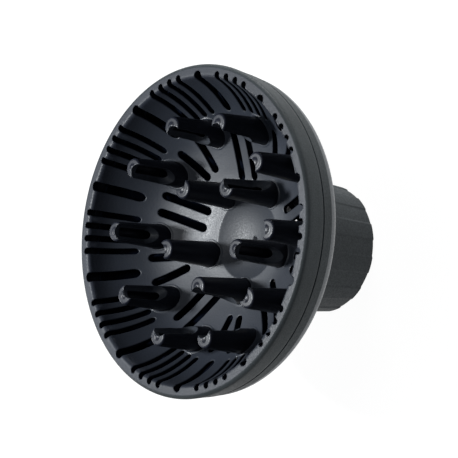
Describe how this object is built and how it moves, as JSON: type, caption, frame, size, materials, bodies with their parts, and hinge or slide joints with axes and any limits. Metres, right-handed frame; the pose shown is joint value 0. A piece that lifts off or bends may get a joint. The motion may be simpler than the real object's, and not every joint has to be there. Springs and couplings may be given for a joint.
{
  "type": "dryer diffuser",
  "caption": "Bowl-shaped hair dryer diffuser with slotted wall, hollow air fingers in two rings and a ribbed twist collar that clamps the dryer nozzle.",
  "frame": {"origin": "centre of the collar's rear face, where the diffuser stands", "axes": "+Z along the air path, from the collar to the open face of the bowl; an outer finger lies on +X"},
  "size_m": [0.151, 0.151, 0.0914],
  "materials": {
    "charcoal_plastic": "fine satin grain",
    "finger_plastic": "smooth satin",
    "collar_plastic": "matt, fine grain",
    "black_nylon": "plain moulded",
    "pad_rubber": "matt rubber",
    "nylon_washer": "natural nylon",
    "screw_steel": "zinc plated",
    "spring_steel": "oiled spring steel"
  },
  "bodies": {
    "casing": {"bowl_grille": "charcoal_plastic", "outer_finger_01": "finger_plastic", "outer_finger_02": "finger_plastic", "outer_finger_03": "finger_plastic", "outer_finger_04": "finger_plastic", "outer_finger_05": "finger_plastic", "outer_finger_06": "finger_plastic", "outer_finger_07": "finger_plastic", "outer_finger_08": "finger_plastic", "outer_finger_09": "finger_plastic", "outer_finger_10": "finger_plastic", "inner_finger_01": "finger_plastic", "inner_finger_02": "finger_plastic", "inner_finger_03": "finger_plastic", "inner_finger_04": "finger_plastic", "inner_finger_05": "finger_plastic", "rear_cover": "charcoal_plastic", "assembly_screws": "screw_steel", "jaw_carrier": "black_nylon", "retaining_clip": "spring_steel", "friction_washer": "nylon_washer"},
    "collar": {"collar_ring": "collar_plastic", "cam_plate": "black_nylon"},
    "jaw_01": {"jaw_01": "black_nylon", "jaw_pad_01": "pad_rubber"},
    "jaw_02": {"jaw_02": "black_nylon", "jaw_pad_02": "pad_rubber"},
    "jaw_03": {"jaw_03": "black_nylon", "jaw_pad_03": "pad_rubber"},
    "jaw_04": {"jaw_04": "black_nylon", "jaw_pad_04": "pad_rubber"},
    "jaw_05": {"jaw_05": "black_nylon", "jaw_pad_05": "pad_rubber"},
    "jaw_06": {"jaw_06": "black_nylon", "jaw_pad_06": "pad_rubber"}
  },
  "joints": [
    {"name": "collar_twist", "type": "hinge", "parent": "casing", "child": "collar", "pos_m": [0, 0, 0], "axis": [0, 0, 1], "range_deg": [0, 60]},
    {"name": "jaw_slide_01", "type": "slide", "parent": "casing", "child": "jaw_01", "axis": [-1, 0, 0], "range_m": [0, 0.004]},
    {"name": "jaw_slide_02", "type": "slide", "parent": "casing", "child": "jaw_02", "axis": [-0.5, -0.866, 0], "range_m": [0, 0.004]},
    {"name": "jaw_slide_03", "type": "slide", "parent": "casing", "child": "jaw_03", "axis": [0.5, -0.866, 0], "range_m": [0, 0.004]},
    {"name": "jaw_slide_04", "type": "slide", "parent": "casing", "child": "jaw_04", "axis": [1, 0, 0], "range_m": [0, 0.004]},
    {"name": "jaw_slide_05", "type": "slide", "parent": "casing", "child": "jaw_05", "axis": [0.5, 0.866, 0], "range_m": [0, 0.004]},
    {"name": "jaw_slide_06", "type": "slide", "parent": "casing", "child": "jaw_06", "axis": [-0.5, 0.866, 0], "range_m": [0, 0.004]}
  ],
  "couplings": [
    {"joint": "jaw_slide_01", "follows": "collar_twist", "m_per_rad": 0.0038196},
    {"joint": "jaw_slide_02", "follows": "collar_twist", "m_per_rad": 0.0038196},
    {"joint": "jaw_slide_03", "follows": "collar_twist", "m_per_rad": 0.0038196},
    {"joint": "jaw_slide_04", "follows": "collar_twist", "m_per_rad": 0.0038196},
    {"joint": "jaw_slide_05", "follows": "collar_twist", "m_per_rad": 0.0038196},
    {"joint": "jaw_slide_06", "follows": "collar_twist", "m_per_rad": 0.0038196}
  ]
}
